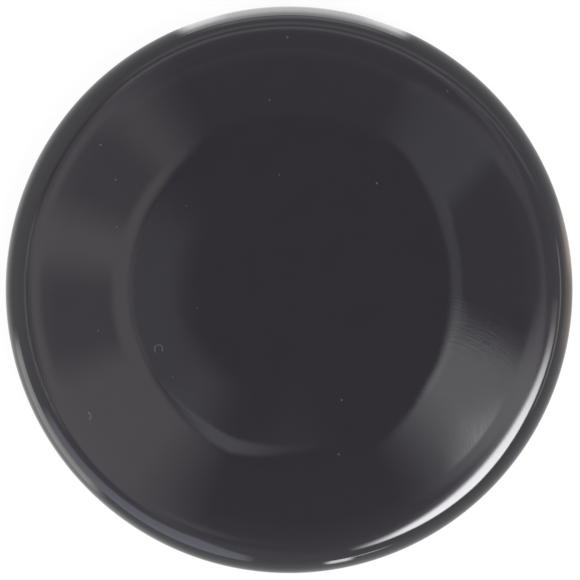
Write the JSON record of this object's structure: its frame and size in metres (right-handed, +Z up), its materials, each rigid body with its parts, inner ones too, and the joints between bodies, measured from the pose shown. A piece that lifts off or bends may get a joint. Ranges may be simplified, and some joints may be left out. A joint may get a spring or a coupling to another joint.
{
  "type": "gas burner cap",
  "caption": "Round cap for a gas burner, pressed from steel and enamelled glossy black, with a flat raised plateau, sloping flank, rolled rim and short skirt.",
  "frame": {"origin": "on the cap's axis, in the plane of the skirt's lower edge that it rests on", "axes": "+Z up along the axis, out of the plateau; X and Y are equal because the cap is round"},
  "size_m": [0.1, 0.1, 0.0122],
  "materials": {
    "enamelled_steel": "glossy black vitreous enamel fired on pressed steel"
  },
  "bodies": {
    "root": {"burner_cap": "enamelled_steel"}
  },
  "joints": []
}
